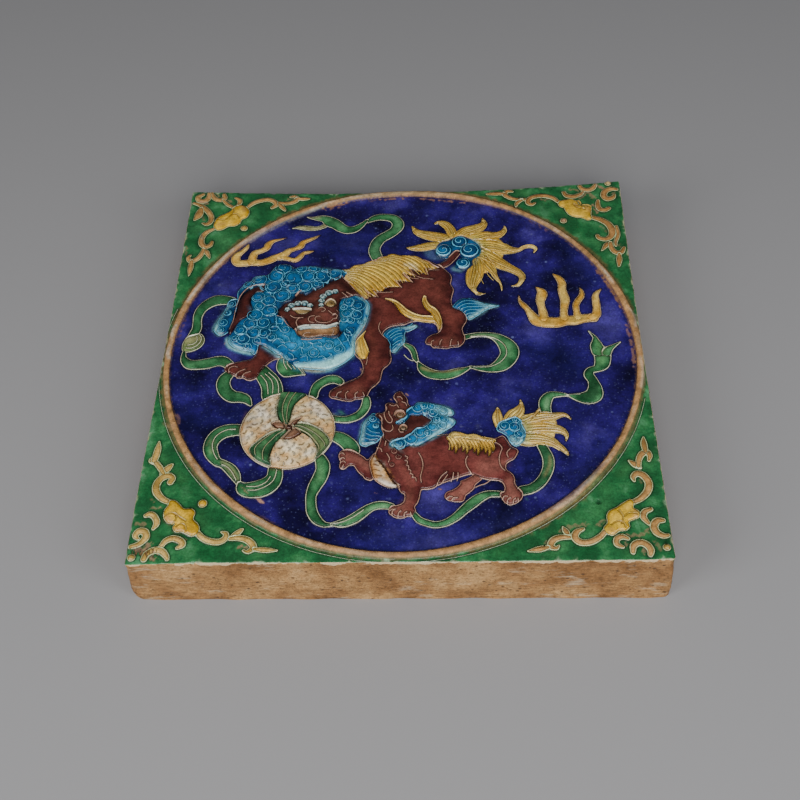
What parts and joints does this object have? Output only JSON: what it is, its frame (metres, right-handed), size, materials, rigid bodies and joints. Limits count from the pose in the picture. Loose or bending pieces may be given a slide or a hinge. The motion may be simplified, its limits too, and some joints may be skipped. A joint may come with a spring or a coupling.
{
  "type": "glazed floor tile",
  "caption": "Square thick clay floor tile with coloured lead glazes: a lion, its cub and a ribboned brocade ball raised in a blue roundel, green corners with scrolls.",
  "frame": {"origin": "middle of the flat underside", "axes": "+Z out of the picture side, +Y towards the top of the picture, +X to the picture's right"},
  "size_m": [0.3058, 0.3058, 0.0438],
  "materials": {
    "glazed_clay": "gloss"
  },
  "bodies": {
    "root": {"tile": "glazed_clay"}
  },
  "joints": []
}
